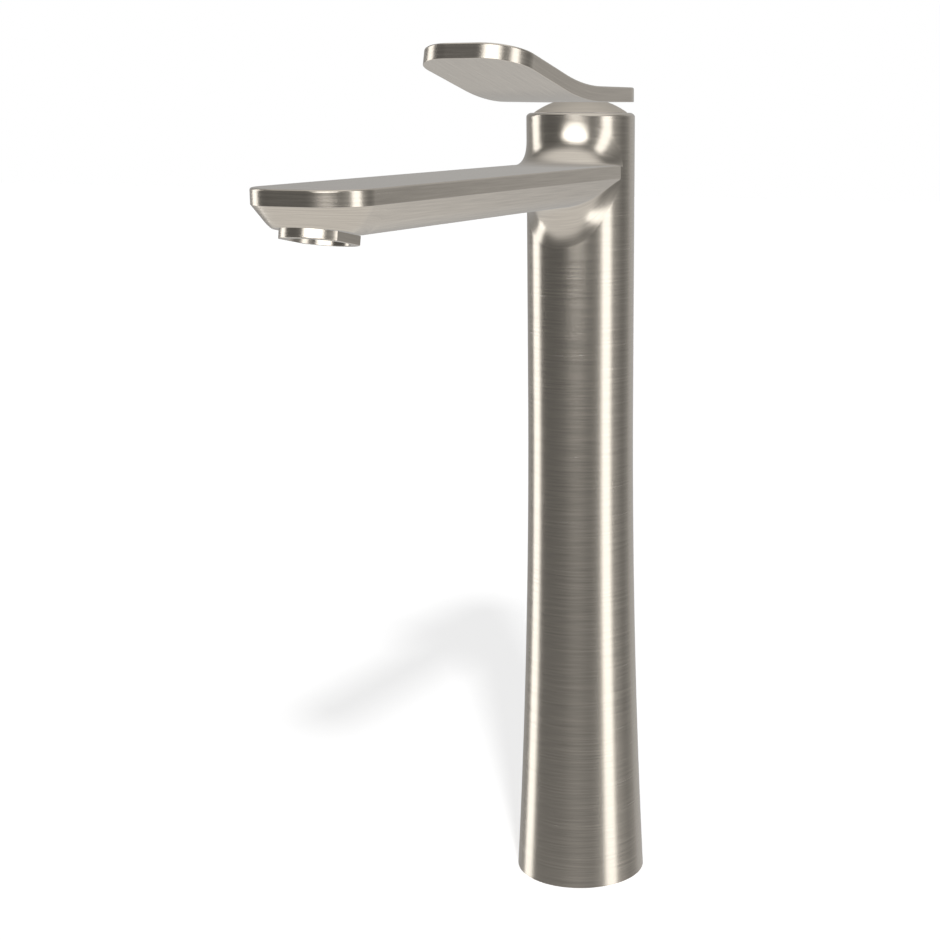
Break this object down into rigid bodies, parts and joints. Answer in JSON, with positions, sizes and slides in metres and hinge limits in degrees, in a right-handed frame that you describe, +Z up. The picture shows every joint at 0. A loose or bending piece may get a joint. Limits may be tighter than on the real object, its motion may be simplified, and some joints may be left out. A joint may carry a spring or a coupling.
{
  "type": "single-lever basin faucet",
  "caption": "Tall deck-mounted basin faucet with a round flared column, a flat-topped straight spout with an aerator outlet, and a flat lever on a domed cap.",
  "frame": {"origin": "centre of the stud hole's mouth, in the seat plane on the deck", "axes": "+Z up along the column, -Y along the spout towards the user, +X to the right of the spout seen from behind the column"},
  "size_m": [0.0564, 0.2417, 0.3566],
  "materials": {
    "brushed_nickel": "fine horizontal brushing, satin",
    "aerator_metal": "fine satin",
    "stainless": "plain turned steel",
    "brass": "machined",
    "ceramic": "lapped",
    "white_plastic": "moulded",
    "grey_plastic": "moulded",
    "black_rubber": "matt"
  },
  "bodies": {
    "body": {"body_casting": "brushed_nickel", "base_gasket": "black_rubber", "mounting_insert": "brass", "waterway_block": "brass", "waterway_rings": "black_rubber", "cartridge_seals": "black_rubber", "cartridge_base": "white_plastic", "fixed_disc": "ceramic", "cartridge_housing": "grey_plastic", "cartridge_nut": "brass", "swivel_stop": "grey_plastic", "aerator_housing": "aerator_metal", "aerator_screen": "stainless", "aerator_washer": "black_rubber", "flow_regulator": "grey_plastic"},
    "turret": {"turret": "white_plastic", "pivot_pin": "stainless"},
    "slider": {"disc_carrier": "white_plastic", "moving_disc": "ceramic"},
    "lever": {"lever_handle": "brushed_nickel", "lever_stem": "stainless", "lever_set_screw": "stainless"}
  },
  "joints": [
    {"name": "lever_swivel", "type": "hinge", "parent": "body", "child": "turret", "pos_m": [0, 0, 0.329], "axis": [0, 0, 1], "range_deg": [-45, 45]},
    {"name": "lever_lift", "type": "hinge", "parent": "turret", "child": "lever", "pos_m": [0, 0, 0.329], "axis": [-1, 0, 0], "range_deg": [0, 18]},
    {"name": "disc_slide", "type": "slide", "parent": "turret", "child": "slider", "axis": [0, -1, 0], "range_m": [0, 0.0038]}
  ],
  "couplings": [
    {"joint": "disc_slide", "follows": "lever_lift", "m_per_rad": 0.01195}
  ]
}
